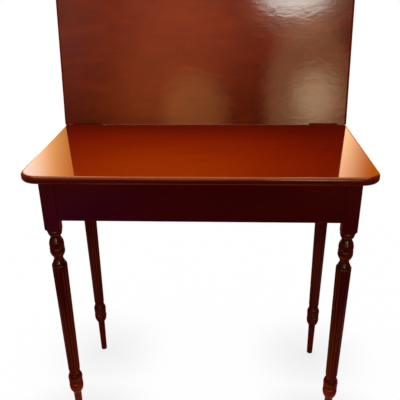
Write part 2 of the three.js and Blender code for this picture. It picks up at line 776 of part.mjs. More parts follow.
// The frame
const frame = new THREE.Group();
addCorner(frame, 'front_left', -legX, legFrontY, 0);
addCorner(frame, 'front_right', legX, legFrontY, 1);
addCorner(frame, 'rear_right', legX, legRearY, 2);
addCorner(frame, 'rear_left', -legX, legRearY, 3);
addAprons(frame);
addWell(frame);
addFelt(frame);
addPivotBoard(frame);

// The swivelling top: the lower leaf, its pivot and the lower half of each hinge
const swivel = new THREE.Group();
addPivot(swivel);
const lowerSide = new THREE.Group();
lowerSide.position.set(0, hingeY, hingeZ);
addPiece(lowerSide, 'lower_leaf', lowerLeaf(), 'leafVeneer');

// The upper leaf lies over the lower one when it is turned half round, face to face, and
// swings up and back from there about the hinge axis
const upperSwing = new THREE.Group();
upperSwing.position.set(0, hingeY, hingeZ);
upperSwing.rotation.x = -restOpening;
const upperSide = new THREE.Group();
upperSide.rotation.y = Math.PI;
addPiece(upperSide, 'upper_leaf', leafSolid(), 'leafVeneer');

// Hinges: the odd half on the lower leaf, the even half on the upper one, and the pin
['left', 'right'].forEach((side, i) => {
  const x = hingeCentres[i];
  addPiece(lowerSide, `hinge_${side}_lower_plate`, hingeHalf(true), 'brass').position.x = x;
  addHingeScrews(lowerSide, side, 'lower', x);
  const pin = bar(hingePinRadius, x - hingeLength / 2, x + hingeLength / 2, pinSides);
  addPiece(lowerSide, `hinge_${side}_pin`, pin.rotateY(Math.PI / 2), 'brass');
  addPiece(upperSide, `hinge_${side}_upper_plate`, hingeHalf(false), 'brass').position.x = -x;
  addHingeScrews(upperSide, side, 'upper', -x);
});
upperSwing.add(upperSide);
swivel.add(lowerSide, upperSwing);

const table = new THREE.Group();
table.add(frame, swivel);

export default table;
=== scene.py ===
import math

import bmesh
import bpy
from mathutils import Matrix, Vector, noise


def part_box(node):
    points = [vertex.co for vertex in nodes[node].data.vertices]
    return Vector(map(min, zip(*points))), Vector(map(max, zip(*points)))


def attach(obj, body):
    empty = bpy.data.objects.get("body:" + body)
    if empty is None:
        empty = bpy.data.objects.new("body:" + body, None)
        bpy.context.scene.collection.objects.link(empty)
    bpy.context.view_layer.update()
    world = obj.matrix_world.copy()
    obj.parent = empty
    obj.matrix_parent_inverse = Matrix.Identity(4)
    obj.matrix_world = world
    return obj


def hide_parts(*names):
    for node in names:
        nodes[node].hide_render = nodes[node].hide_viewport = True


# A fold-over card table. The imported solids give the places; this script dresses them.
# Sizes in the dictionaries are in millimetres unless a note says otherwise.
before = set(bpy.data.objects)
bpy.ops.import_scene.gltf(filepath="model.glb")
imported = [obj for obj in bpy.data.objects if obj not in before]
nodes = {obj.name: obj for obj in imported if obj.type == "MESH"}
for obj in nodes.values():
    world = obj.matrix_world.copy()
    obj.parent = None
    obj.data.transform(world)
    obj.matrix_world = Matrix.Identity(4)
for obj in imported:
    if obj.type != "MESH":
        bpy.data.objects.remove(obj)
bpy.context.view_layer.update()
mm = 0.001
tiny = 1e-6  # a length below which two points are one
noise.seed_set(1)  # unseeded, the nap would follow the clock
print("frame loaded")


# Small helpers

def feed(tree, node, values):
    # sets a node's inputs by name or number; a value that is a socket becomes a link
    for socket, value in values.items():
        if isinstance(value, bpy.types.NodeSocket):
            tree.links.new(value, node.inputs[socket])
        else:
            node.inputs[socket].default_value = value


def addNode(tree, kind, values=None, **settings):
    # one node with its settings and its inputs
    made = tree.nodes.new(kind)
    for name, value in settings.items():
        setattr(made, name, value)
    feed(tree, made, values or {})
    return made


def emptyTree(owner):
    # the node tree of a world or a material, with nothing in it
    owner.use_nodes = True
    owner.node_tree.nodes.clear()
    return owner.node_tree


def nearness(tree, place, centre, reach, flat):
    # 1 round a centre, from the flat share of the reach on falling softly to 0 at the reach
    away = addNode(tree, "ShaderNodeVectorMath", {0: place, 1: centre}, operation="SUBTRACT")
    away = addNode(tree, "ShaderNodeVectorMath", {0: away.outputs[0], 1: reach}, operation="DIVIDE")
    away = addNode(tree, "ShaderNodeVectorMath", {0: away.outputs[0]}, operation="LENGTH")
    return addNode(tree, "ShaderNodeMapRange", {"Value": away.outputs["Value"], "From Min": flat,
                                                "To Min": 1.0, "To Max": 0.0},
                   interpolation_type="SMOOTHSTEP").outputs[0]


def colour(code):
    # an sRGB hex colour as the linear colour that a socket takes
    parts = [int(code[i:i + 2], 16) / 255 for i in (1, 3, 5)]
    return (*[c / 12.92 if c <= 0.04045 else ((c + 0.055) / 1.055) ** 2.4 for c in parts], 1)


def pieceFrom(bm, name):
    # a mesh object at the origin from a bmesh
    mesh = bpy.data.meshes.new(name)
    bm.to_mesh(mesh)
    bm.free()
    piece = bpy.data.objects.new(name, mesh)
    bpy.context.scene.collection.objects.link(piece)
    return piece


def bake(piece):
    # the modifiers' result becomes the piece's plain mesh
    graph = bpy.context.evaluated_depsgraph_get()
    graph.update()
    mesh = bpy.data.meshes.new_from_object(piece.evaluated_get(graph), depsgraph=graph)
    piece.modifiers.clear()
    piece.data = mesh
    return piece


def discard(*pieces):
    for piece in pieces:
        bpy.data.objects.remove(piece)


def cut(piece, tool, operation="DIFFERENCE"):
    # an exact cut, after which the tool is gone
    modifier = piece.modifiers.new("cut", "BOOLEAN")
    modifier.object = tool
    modifier.operation = operation
    modifier.solver = "EXACT"
    bake(piece)
    discard(tool)
    return piece


def smoothed(piece, angle=32):
    # round faces shade smoothly, flat ones stay flat and corners sharp
    piece.data.shade_smooth()
    piece.data.set_sharp_from_angle(angle=math.radians(angle))
    modifier = piece.modifiers.new("normals", "WEIGHTED_NORMAL")
    modifier.keep_sharp = True
    modifier.weight = 80
    return bake(piece)


def ordered(piece):
    # a large cut may list its points and faces anew each run; here their places give the order
    mesh, fresh = piece.data, bpy.data.meshes.new(piece.name)
    points = sorted(mesh.vertices, key=lambda v: v.co[:])
    rank = {v.index: i for i, v in enumerate(points)}
    faces = []
    for face in mesh.polygons:
        ring = [rank[i] for i in face.vertices]
        start = ring.index(min(ring))
        faces.append(ring[start:] + ring[:start])
    fresh.from_pydata([v.co for v in points], [], sorted(faces))
    piece.data = fresh
    return piece


def joined(name, *pieces):
    bm = bmesh.new()
    for piece in pieces:
        bm.from_mesh(piece.data)
    discard(*pieces)
    return pieceFrom(bm, name)


def moved(piece, *steps):
    # turns and shifts go into the mesh, in the order given
    for step in steps:
        piece.data.transform(step)
    piece.data.update()
    return piece


def boxPiece(name, low, high, bevel=0, segments=3):
    # a block between two corners, its edges eased
    bm = bmesh.new()
    bmesh.ops.create_cube(bm, size=1)
    low, high = Vector(low), Vector(high)
    for v in bm.verts:
        v.co = Vector(a + (b - a) * (c + 0.5) for a, b, c in zip(low, high, v.co))
    if bevel:
        bmesh.ops.bevel(bm, geom=bm.edges[:], offset=bevel, segments=segments, profile=0.5,
                        affect="EDGES")
    return pieceFrom(bm, name)


def lathePiece(name, profile, sides):
    # a turned solid about Z from (radius, height) pairs in mm, bottom to top, on the axis at both ends
    bm = bmesh.new()
    rings = []
    for radius, height in profile:
        if radius < tiny:
            rings.append([bm.verts.new((0, 0, height * mm))])
            continue
        rings.append([bm.verts.new((radius * mm * math.cos(math.tau * i / sides),
                                    radius * mm * math.sin(math.tau * i / sides), height * mm))
                      for i in range(sides)])
    for low, high in zip(rings, rings[1:]):
        for i in range(sides):
            j = (i + 1) % sides
            ring = [low[i % len(low)], low[j % len(low)], high[j % len(high)], high[i % len(high)]]
            face = list(dict.fromkeys(ring))
            if len(face) > 2:
                bm.faces.new(face)
    bmesh.ops.recalc_face_normals(bm, faces=bm.faces[:])
    return pieceFrom(bm, name)


# Camera: to the right of the middle, above the leaf, looking down and a little to the left

cameraPlace = {"right": 56.4, "before": 1010.4, "height": 1160, "pitch": 24.44, "yaw": -2.88,
               "roll": 0.80, "lens": 47.87, "sensor": 36, "farthest": 60000}

leafLow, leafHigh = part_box("lower_leaf")
pitch, yaw, roll = (math.radians(cameraPlace[k]) for k in ("pitch", "yaw", "roll"))
forward = Vector((math.sin(yaw) * math.cos(pitch), math.cos(yaw) * math.cos(pitch), -math.sin(pitch)))
levelRight = Vector((math.cos(yaw), -math.sin(yaw), 0))
levelDown = forward.cross(levelRight)
cameraRight = levelRight * math.cos(roll) + levelDown * math.sin(roll)
cameraDown = levelDown * math.cos(roll) - levelRight * math.sin(roll)
cameraData = bpy.data.cameras.new("camera")
cameraData.sensor_width = cameraPlace["sensor"]
cameraData.lens = cameraPlace["lens"]
cameraData.clip_end = cameraPlace["farthest"] * mm
camera = bpy.data.objects.new("camera", cameraData)
bpy.context.scene.collection.objects.link(camera)
camera.matrix_world = Matrix.Translation((cameraPlace["right"] * mm,
                                          leafLow.y - cameraPlace["before"] * mm,
                                          cameraPlace["height"] * mm)) @ Matrix(
    (cameraRight, -cameraDown, -forward)).transposed().to_4x4()
bpy.context.scene.camera = camera
bpy.context.scene.view_settings.view_transform = "Standard"
print("camera placed")


# Studio: white surroundings, a soft lamp, a pale floor and the room that the polish mirrors

# distances on the floor and its half width in metres
studio = {"fill": 0.3, "floor": "#f6f6f6", "floorHalf": 30, "nearGlow": 0.76, "farGlow": 0.985,
          "nearFoot": 0.02, "farFoot": 0.24, "whiteFrom": 0.3, "whiteTo": 1.1}

lamps = {  # place and aim in metres, size in metres, power in watts
    "overheadSoftbox": {"place": (-0.3, 0.7, 5.4), "aim": (0, 0, 0.7), "size": (4.4, 3.6), "power": 165},
}

# the room that the polish mirrors, in metres: half its width, where its front and rear lie, and its height
room = {"half": 3.6, "front": -3.4, "rear": 3.2, "height": 6.0, "floor": 0.004}
width, depth, height = 2 * room["half"], room["rear"] - room["front"], room["height"]
midway = (room["front"] + room["rear"]) / 2

# cards that only the polish sees: the room before the table, the wall behind, the sides, ceiling and floor
cards = {  # middle and size in metres, turns about X and Z in degrees, the plain glow and its spots
    # a spot: place across and up (on the floor, across and back), its reach both ways in metres,
    # the share of that reach that is even, and its glow
    "roomBefore": {"middle": (0, room["front"], height / 2), "size": (width, height), "turns": (90, 0),
                   "glow": (0.35, 0.15, 0.04),
                   "spots": [(-0.35, 1.75, 1.3, 1.1, 0.0, (2.7, 0.60, 0.30)),
                             (-1.50, 1.70, 0.6, 1.3, 0.0, (0.9, 0.35, 0.28)),
                             (-0.22, 0.84, 0.4, 0.5, 0.4, (1.7, 0.8, 0.22)),
                             (-0.6, 0.9, 0.8, 0.75, 0.0, (1.6, 0.4, 0.1)),
                             (0.83, 1.00, 0.5, 0.85, 0.55, (2.3, 1.2, 0.55)),
                             (0.88, 0.97, 0.32, 0.4, 0.1, (4.5, 3.4, 2.0)),
                             (0.67, 1.86, 0.42, 0.22, 0.3, (8.5, 10.3, 9.8)),
                             (0.75, 1.85, 0.65, 0.5, 0.0, (5.0, 2.7, 1.7)),
                             (0, 2.4, 2.6, 0.5, 0.3, (3.2, 1.35, 1.2))]},
    "rearWall": {"middle": (0, room["rear"], height / 2), "size": (width, height), "turns": (90, 0),
                 "glow": (1.4, 0.5, 0.03),
                 "spots": [(-1.75, 2, 0.45, 90, 0.3, (1.25, 0.75, 0.4)),
                           (-1.70, 2, 0.6, 90, 0.0, (1.4, 1.0, 0.4)),
                           (-1.80, 2, 0.34, 90, 0.0, (0.7, 2.0, 2.7)),
                           (1.00, 2, 0.38, 90, 0.0, (3.0, 2.55, 1.6)),
                           (1.25, 2, 0.4, 90, 0.3, (0.55, 0.0, -0.02))]},
    "leftWall": {"middle": (-room["half"], midway, height / 2), "size": (depth, height), "turns": (90, 90),
                 "glow": (0.28, 0.09, 0.05), "spots": []},
    "rightWall": {"middle": (room["half"], midway, height / 2), "size": (depth, height), "turns": (90, 90),
                  "glow": (0.28, 0.09, 0.05), "spots": []},
    "ceiling": {"middle": (0, midway, height), "size": (width, depth), "turns": (0, 0),
                "glow": (3.3, 1.75, 0.9), "spots": []},
    "floorAround": {"middle": (0, midway, room["floor"]), "size": (width, depth), "turns": (0, 0),
                    "glow": (0.26, 0.04, 0.01),
                    "spots": [(0, -1.15, 1.0, 0.95, 0.7, (-0.22, -0.035, 0.0)),
                              (0, -0.27, 0.4, 0.24, 0.3, (1.3, 0.2, -0.01)),
                              (-0.33, -0.15, 0.2, 0.25, 0.2, (0.6, 0.14, 0.12)),
                              (0.33, -0.15, 0.2, 0.25, 0.2, (0.6, 0.14, 0.12)),
                              (-0.3, -0.55, 0.34, 0.26, 0.2, (0.9, 0.2, 0.0)),
                              (0.3, -0.55, 0.34, 0.26, 0.2, (0.9, 0.2, 0.0)),
                              (-0.8, -1.3, 0.8, 1.0, 0.0, (0.0, 0.0, 0.14)),
                              (-0.75, -0.1, 0.3, 0.5, 0.0, (0.4, 0.18, 0.16)),
                              (0.75, -0.1, 0.3, 0.5, 0.0, (0.4, 0.18, 0.16))]},
}

world = bpy.data.worlds.new("studio")
bpy.context.scene.world = world
tree = emptyTree(world)
path = addNode(tree, "ShaderNodeLightPath").outputs
seen = addNode(tree, "ShaderNodeMath", {0: path["Is Camera Ray"], 1: path["Is Glossy Ray"]},
               operation="MAXIMUM")
seen = addNode(tree, "ShaderNodeMath", {0: seen.outputs[0], 1: path["Is Transmission Ray"]},
               operation="MAXIMUM")
strength = addNode(tree, "ShaderNodeMapRange", {"Value": seen.outputs[0], "To Min": studio["fill"],
                                                "To Max": 1.0})
background = addNode(tree, "ShaderNodeBackground", {"Strength": strength.outputs[0],
                                                    "Color": (1, 1, 1, 1)})
addNode(tree, "ShaderNodeOutputWorld", {"Surface": background.outputs[0]})

for name, lamp in lamps.items():
    data = bpy.data.lights.new(name, "AREA")
    data.shape = "RECTANGLE"
    data.size, data.size_y = lamp["size"]
    data.energy = lamp["power"]
    light = bpy.data.objects.new(name, data)
    bpy.context.scene.collection.objects.link(light)
    light.location = lamp["place"]
    light.rotation_euler = (Vector(lamp["aim"]) - Vector(lamp["place"])).to_track_quat("-Z", "Y").to_euler()
    light.visible_camera = False
    light.visible_glossy = False

for name, card in cards.items():
    material = bpy.data.materials.new(name)
    tree = emptyTree(material)
    place = addNode(tree, "ShaderNodeTexCoord").outputs["Object"]
    glow = addNode(tree, "ShaderNodeCombineXYZ", dict(enumerate(card["glow"])))
    second = 2 if card["turns"][0] else 1  # a wall's spots lie in X and Z, the floor's in X and Y
    for across, along, reachAcross, reachAlong, flat, tint in card["spots"]:
        centre, reach = Vector(card["middle"]), Vector((reachAcross, 1, 1))
        centre[0], centre[second], reach[second] = across, along, reachAlong
        share = nearness(tree, place, centre, reach, flat)
        glow = addNode(tree, "ShaderNodeVectorMath", {0: share, 1: tint, 2: glow.outputs[0]},
                       operation="MULTIPLY_ADD")
    surface = addNode(tree, "ShaderNodeEmission", {"Color": glow.outputs[0]})
    addNode(tree, "ShaderNodeOutputMaterial", {"Surface": surface.outputs[0]})
    bm = bmesh.new()
    bmesh.ops.create_grid(bm, x_segments=1, y_segments=1, size=0.5)
    panel = pieceFrom(bm, name)
    moved(panel, Matrix.Diagonal((*card["size"], 1, 1)),
          Matrix.Rotation(math.radians(card["turns"][0]), 4, "X"),
          Matrix.Rotation(math.radians(card["turns"][1]), 4, "Z"), Matrix.Translation(card["middle"]))
    panel.data.materials.append(material)
    for ray in ("camera", "diffuse", "shadow", "transmission"):
        setattr(panel, "visible_" + ray, False)

bm = bmesh.new()
bmesh.ops.create_grid(bm, x_segments=1, y_segments=1, size=studio["floorHalf"])
floor = pieceFrom(bm, "floor")
material = bpy.data.materials.new("paleFloor")
tree = emptyTree(material)
path = addNode(tree, "ShaderNodeLightPath").outputs
geometry = addNode(tree, "ShaderNodeNewGeometry").outputs
matt = addNode(tree, "ShaderNodeBsdfDiffuse", {"Color": colour(studio["floor"])})
glow = addNode(tree, "ShaderNodeEmission", {"Color": (1, 1, 1, 1), "Strength": 1.0})
# near each foot the floor takes its shadow; away from them it is the white of the surroundings
feet = [Vector(((low.x + high.x) / 2, (low.y + high.y) / 2)) for low, high in
        (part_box("leg_" + c) for c in ("front_left", "front_right", "rear_left", "rear_right"))]
middle = sum(feet, Vector((0, 0))) / 4
reach = feet[3] - middle
place = addNode(tree, "ShaderNodeVectorMath", {0: geometry["Position"], 1: (*middle, 0)},
                operation="SUBTRACT")
place = addNode(tree, "ShaderNodeVectorMath", {0: place.outputs[0]}, operation="ABSOLUTE")
away = addNode(tree, "ShaderNodeVectorMath", {0: place.outputs[0], 1: (*reach, 0)}, operation="DISTANCE")
share = addNode(tree, "ShaderNodeMapRange", {"Value": away.outputs["Value"],
                                             "From Min": studio["nearFoot"], "From Max": studio["farFoot"],
                                             "To Min": studio["nearGlow"], "To Max": studio["farGlow"]},
                interpolation_type="SMOOTHSTEP")
white = addNode(tree, "ShaderNodeMapRange", {"Value": away.outputs["Value"],
                                             "From Min": studio["whiteFrom"],
                                             "From Max": studio["whiteTo"]})
share = addNode(tree, "ShaderNodeMath", {0: share.outputs[0], 1: white.outputs[0]}, operation="MAXIMUM")
toCamera = addNode(tree, "ShaderNodeMath", {0: share.outputs[0], 1: path["Is Camera Ray"]},
                   operation="MULTIPLY")
surface = addNode(tree, "ShaderNodeMixShader", {0: toCamera.outputs[0], 1: matt.outputs[0],
                                                2: glow.outputs[0]})
clear = addNode(tree, "ShaderNodeBsdfTransparent")
below = addNode(tree, "ShaderNodeMixShader", {0: geometry["Backfacing"], 1: surface.outputs[0],
                                              2: clear.outputs[0]})
addNode(tree, "ShaderNodeOutputMaterial", {"Surface": below.outputs[0]})
floor.data.materials.append(material)
print("studio set")


# Finishes

noiseSpan = (0.3, 0.7)  # where nearly all of a noise's values lie


def blankMaterial(name):
    material = bpy.data.materials.new(name)
    material.use_nodes = True
    tree = material.node_tree
    place = addNode(tree, "ShaderNodeTexCoord").outputs["Object"]
    return material, tree, tree.nodes["Principled BSDF"], place


def surfaced(tree, shader, look, tint, pattern, height, span=(0, 1)):
    # a tint, a roughness that follows a pattern over its span, and dents that follow a height
    rough = addNode(tree, "ShaderNodeMapRange", {"Value": pattern, "From Min": span[0],
                                                 "From Max": span[1], "To Min": look["rough"][0],
                                                 "To Max": look["rough"][1]})
    bump = addNode(tree, "ShaderNodeBump", {"Height": height, "Strength": look["bump"],
                                            "Distance": look["bumpDepth"] * mm})
    feed(tree, shader, {"Base Color": tint, "Roughness": rough.outputs[0], "Normal": bump.outputs[0]})


def woodFields(tree, place, look, grain, shift):
    # each of the look's patterns, drawn out along the grain
    field = {}
    for pattern, (length, width, detail, twist) in look["patterns"].items():
        scale = [1 / (width * mm)] * 3
        scale["XYZ".index(grain)] = 1 / (length * mm)
        mapped = addNode(tree, "ShaderNodeMapping", {"Vector": place, "Location": shift, "Scale": scale})
        field[pattern] = addNode(tree, "ShaderNodeTexNoise",
                                 {"Vector": mapped.outputs[0], "Scale": 1.0, "Detail": detail,
                                  "Distortion": twist}).outputs["Fac"]
    return field


def mahogany(name, look, grain="X", shift=(0, 0, 0)):
    # stained mahogany under clear lacquer: ribbon figure and fine pores show through a hard gloss
    material, tree, shader, place = blankMaterial(name)
    field = woodFields(tree, place, look, grain, shift)
    # painted light and shade: the stain is palest round one spot, standing in for where the most light
    # falls, and deepens away from it
    paintedLight = nearness(tree, place, look["paintedLightSpot"], look["paintedLightReach"], look["paintedLightFlat"])
    tone = addNode(tree, "ShaderNodeMix", {0: look["cloudShare"], 2: field["figure"], 3: field["cloud"]})
    depth = addNode(tree, "ShaderNodeMix", {0: look["paintedLightShare"], 2: tone.outputs[0], 3: paintedLight})
    ramp = addNode(tree, "ShaderNodeValToRGB", {0: depth.outputs[0]})
    stops = ramp.color_ramp.elements
    for i, (position, code) in enumerate(look["stain"]):
        stop = stops[i] if i < 2 else stops.new(position)
        stop.position = position
        stop.color = colour(code)
    opened = addNode(tree, "ShaderNodeMapRange", {"Value": field["pores"], "From Min": look["poreFrom"],
                                                  "From Max": look["poreTo"], "To Max": look["poreShare"]})
    stain = addNode(tree, "ShaderNodeMix", {0: opened.outputs[0], 6: ramp.outputs[0],
                                            7: colour(look["pore"])}, data_type="RGBA")
    # painted shade: the stain darkens down the leaves' sides, in grooves and between reeds, where less
    # light reaches, which the mesh marks
    paintedShade = addNode(tree, "ShaderNodeAttribute", attribute_name="paintedShade")
    stain = addNode(tree, "ShaderNodeMix", {0: paintedShade.outputs["Fac"], 6: stain.outputs[2],
                                            7: colour(look["paintedShade"])}, data_type="RGBA")
    height = addNode(tree, "ShaderNodeMath", {0: field["figure"], 1: field["pores"]}, operation="ADD")
    surfaced(tree, shader, look, stain.outputs[2], field["figure"], height.outputs[0], noiseSpan)
    # the lacquer lies over the grain in slow ripples
    ripple = addNode(tree, "ShaderNodeBump", {"Height": field["ripple"], "Strength": 1.0,
                                              "Distance": look["ripple"] * mm})
    feed(tree, shader, {"Specular IOR Level": look["sheenUnder"], "Coat Weight": look["coat"],
                        "Coat Roughness": look["coatRoughness"], "Coat IOR": look["coatIor"],
                        "Coat Normal": ripple.outputs[0]})
    return material


# patterns: length along the grain and width across it in mm, detail, distortion
# places and reaches of the painted light spot in metres, depths of bump and ripple in mm
# painted light and shade on the lower leaf: palest to the front and left of the middle, darker towards the
# hinge edge and the ends
leafLook = {"stain": [(0.12, "#660c01"), (0.4, "#851a01"), (0.68, "#982801"), (0.92, "#ae3902")],
            "pore": "#4a1003", "paintedShade": "#4c0903",
            "patterns": {"figure": (420, 11, 5, 0.5), "cloud": (190, 90, 3, 0.5), "pores": (22, 0.9, 2, 0),
                         "ripple": (34, 15, 2, 0.4)},
            "paintedLightSpot": (-0.08, -0.20, 0.75), "paintedLightReach": (0.62, 0.5, 9), "paintedLightFlat": 0.0,
            "paintedLightShare": 0.75, "cloudShare": 0.6, "poreShare": 0.3, "poreFrom": 0.56, "poreTo": 0.72,
            "rough": (0.39, 0.51), "bump": 0.08, "bumpDepth": 0.2, "ripple": 0.01, "sheenUnder": 0.0,
            "coat": 1.0, "coatRoughness": 0.045, "coatIor": 1.5}
# the standing leaf's copy: its stain runs darker, painted shade for a leaf that stands away from the light,
# and its painted light spot lies in its middle
shadedUpperLook = dict(leafLook, coatRoughness=0.06, ripple=0.14, paintedLightShare=0.3, paintedLightSpot=(-0.1, 0.2, 0.95),
                 paintedLightReach=(0.5, 9, 0.45), cloudShare=0.8,
                 patterns=dict(leafLook["patterns"], cloud=(110, 60, 3, 0.8)),
                 stain=[(0.3, "#640c0a"), (0.45, "#741508"), (0.56, "#821f05"), (0.7, "#902a03")])
# painted light and shade on the frame: paler low down and towards the front, standing in for warm light off
# the floor on the legs, darker higher up and on the rear legs
frameLook = dict(leafLook, stain=[(0.1, "#420505"), (0.35, "#4e0808"), (0.6, "#600e05"), (0.9, "#8a2200")],
                 pore="#1c0404", paintedShade="#180202",
                 patterns=dict(leafLook["patterns"], figure=(300, 9, 5, 0.5), cloud=(144, 90, 2, 0)),
                 paintedLightSpot=(0, -0.2, 0), paintedLightReach=(90, 0.55, 0.3), paintedLightFlat=0.2, paintedLightShare=0.6,
                 coatRoughness=0.04, coat=0.7)

lowerVeneer = mahogany("polishedMahoganyVeneer", leafLook)
shadedUpperVeneer = mahogany("polishedMahoganyVeneerUpperShaded", shadedUpperLook, shift=(3.1, 1.7, 0.4))
frameWood = {axis: mahogany("lacqueredMahogany" + axis, frameLook, axis, (0.7, 2.3, 1.1))
             for axis in "XYZ"}


def plainWood(name, look, grain="X"):
    # planed wood without a finish: pale, matt, with soft growth rings and pores
    material, tree, shader, place = blankMaterial(name)
    field = woodFields(tree, place, look, grain, (0, 0, 0))
    fibre = field["fibre"]
    tone = addNode(tree, "ShaderNodeMix", {0: look["fibreShare"], 2: field["rings"], 3: fibre})
    ramp = addNode(tree, "ShaderNodeValToRGB", {0: tone.outputs[0]})
    for stop, (position, code) in zip(ramp.color_ramp.elements, look["tones"]):
        stop.position = position
        stop.color = colour(code)
    surfaced(tree, shader, look, ramp.outputs[0], fibre, fibre)
    return material


beechLook = {"tones": [(0.36, "#8d6138"), (0.66, "#b98e5f")], "rough": (0.6, 0.76), "fibreShare": 0.3,
             "bump": 0.25, "bumpDepth": 0.15,
             "patterns": {"rings": (260, 7, 4, 0.3), "fibre": (14, 0.8, 4, 0)}}
plyLook = dict(beechLook, tones=[(0.36, "#a57d4e"), (0.66, "#c8a473")], rough=(0.64, 0.8),
               patterns={"rings": (180, 26, 4, 0.3), "fibre": (14, 0.8, 4, 0)})
beech = {axis: plainWood("planedBeech" + axis, beechLook, axis) for axis in "XYZ"}
plywood = plainWood("sandedPlywood", plyLook)


def metal(name, look):
    # a plain metal surface, clouded by handling
    material, tree, shader, place = blankMaterial(name)
    cloud = addNode(tree, "ShaderNodeTexNoise", {"Vector": place, "Scale": 1 / (look["cloud"] * mm),
                                                 "Detail": 5.0}).outputs["Fac"]
    scuff = addNode(tree, "ShaderNodeTexNoise", {"Vector": place, "Scale": 1 / (look["grain"] * mm),
                                                 "Detail": 2.0}).outputs["Fac"]
    tint = addNode(tree, "ShaderNodeMix", {0: cloud, 6: colour(look["dark"]), 7: colour(look["light"])},
                   data_type="RGBA")
    surfaced(tree, shader, look, tint.outputs[2], cloud, scuff, noiseSpan)
    feed(tree, shader, {"Metallic": 1.0})
    return material


# the sizes of the clouds and the scuffs' grain and depth in mm
brass = metal("bronzedBrass", {"dark": "#330f09", "light": "#542012", "cloud": 6, "grain": 0.5,
                               "rough": (0.43, 0.57), "bump": 0.15, "bumpDepth": 0.03})
steel = metal("zincPlatedSteel", {"dark": "#8c8f93", "light": "#b4b7ba", "cloud": 4, "grain": 0.4,
                                  "rough": (0.33, 0.47), "bump": 0.15, "bumpDepth": 0.03})


def clouded(name, look):
    # a plain surface that one fine pattern tints, roughens and dents; its grain and depth are in mm
    material, tree, shader, place = blankMaterial(name)
    field = addNode(tree, "ShaderNodeTexNoise", {"Vector": place, "Scale": 1 / (look["grain"] * mm),
                                                 "Detail": look["detail"],
                                                 "Distortion": look["twist"]}).outputs["Fac"]
    tint = addNode(tree, "ShaderNodeMix", {0: field, 6: colour(look["dark"]), 7: colour(look["light"])},
                   data_type="RGBA")
    surfaced(tree, shader, look, tint.outputs[2], field, field)
    feed(tree, shader, {"Sheen Weight": look["sheen"], "Sheen Roughness": look["sheenRoughness"]})
    return material


# natural nylon, moulded: milky and slightly waxy
nylon = clouded("mouldedNylon", {"dark": "#dcd8ca", "light": "#f0ede2", "grain": 5, "detail": 3.0,
                                 "twist": 0.0, "rough": (0.38, 0.55), "bump": 0.1, "bumpDepth": 0.05,
                                 "sheen": 0.0, "sheenRoughness": 0.5})
# dense wool felt: matt, with a short tangled nap; the fibres are drawn coarse enough to show
felt = clouded("woolFelt", {"dark": "#1d130f", "light": "#3f2c25", "grain": 0.9, "detail": 6.0,
                            "twist": 1.2, "rough": (0.86, 1.0), "bump": 0.6, "bumpDepth": 0.3,
                            "sheen": 0.35, "sheenRoughness": 0.6})
print("finishes made")


def finished(piece, material, body, replaced):
    piece.data.materials.clear()
    piece.data.materials.append(material)
    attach(piece, body)
    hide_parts(*replaced)


# Leaves: two equal boards about the hinge axis, with eased arrises and let-in hinge housings

# the boards meet at the hinge axis, which lies 0.3 mm outside the solid leaf both ways
# the painted shade on the edge reaches down from the top and up from the bottom by the given millimetres,
# along a curve
leafSizes = {"length": 762, "depth": 381.28, "thickness": 18.28, "cornerRadius": 42, "arris": 6.5,
             "gap": 0.02, "axisOut": 0.3, "opening": 98, "cornerSteps": 20, "arrisSteps": 10,
             "paintedShadeAbove": 6.8, "paintedShadeBelow": 0.6, "paintedShadeCurve": 0.7}
hingeSizes = {"length": 76, "inset": 62, "plateWidth": 15, "plateThickness": 1.8, "plateArris": 0.25,
              "arrisSteps": 2, "knuckle": 3.5, "knuckleArris": 0.3, "knuckles": 5, "knuckleGap": 0.4,
              "clearance": 0.6, "seat": 0.3, "pin": 1.5, "pinClearance": 0.3, "neckClearance": 0.6,
              "neckOverlap": 1, "screwRow": 9.5, "screws": 3, "screwEndInset": 12, "sides": 28,
              "outer": 0.3, "overrun": 10}
screwSizes = {"head": 3.2, "headDepth": 1.6, "headSides": 28, "shank": 1.5, "shankSides": 16, "tip": 0.2,
              "length": 14, "slotWidth": 0.9, "slotDepth": 0.8, "slotLength": 20, "sinkClearance": 0.15,
              "holeClearance": 0.3, "holeDepth": 6, "sinkRise": 0.02, "sinkOverrun": 3, "sinkSides": 24}

hingeAxis = Vector((0, leafHigh.y + leafSizes["axisOut"] * mm, leafHigh.z + leafSizes["axisOut"] * mm))
upperTurn = (Matrix.Translation(hingeAxis) @ Matrix.Rotation(-math.radians(leafSizes["opening"]), 4, "X")
             @ Matrix.Rotation(math.pi, 4, "Y"))
lowerPlace = Matrix.Translation(hingeAxis)
hingeCentres = [side * (leafSizes["length"] / 2 - hingeSizes["inset"]) for side in (-1, 1)]
span = hingeSizes["length"] - 2 * hingeSizes["screwEndInset"]
screwPlaces = [span * (i / (hingeSizes["screws"] - 1) - 0.5) for i in range(hingeSizes["screws"])]


def leafRing(bm, inset, height):
    # the outline at one height, from the hinge edge round the front and back to it
    size = leafSizes
    half, front, rear = size["length"] / 2, -size["gap"] - size["depth"], -size["gap"]
    points = [(-half + inset, rear)]
    for side in (-1, 1):
        for i in range(size["cornerSteps"] + 1):
            share = i / size["cornerSteps"] if side < 0 else 1 - i / size["cornerSteps"]
            angle = share * math.pi / 2
            reach = size["cornerRadius"] - inset
            points.append((side * (half - size["cornerRadius"] + reach * math.cos(angle)),
                           front + size["cornerRadius"] - reach * math.sin(angle)))
    points.append((half - inset, rear))
    return [bm.verts.new((x * mm, y * mm, height * mm)) for x, y in points]


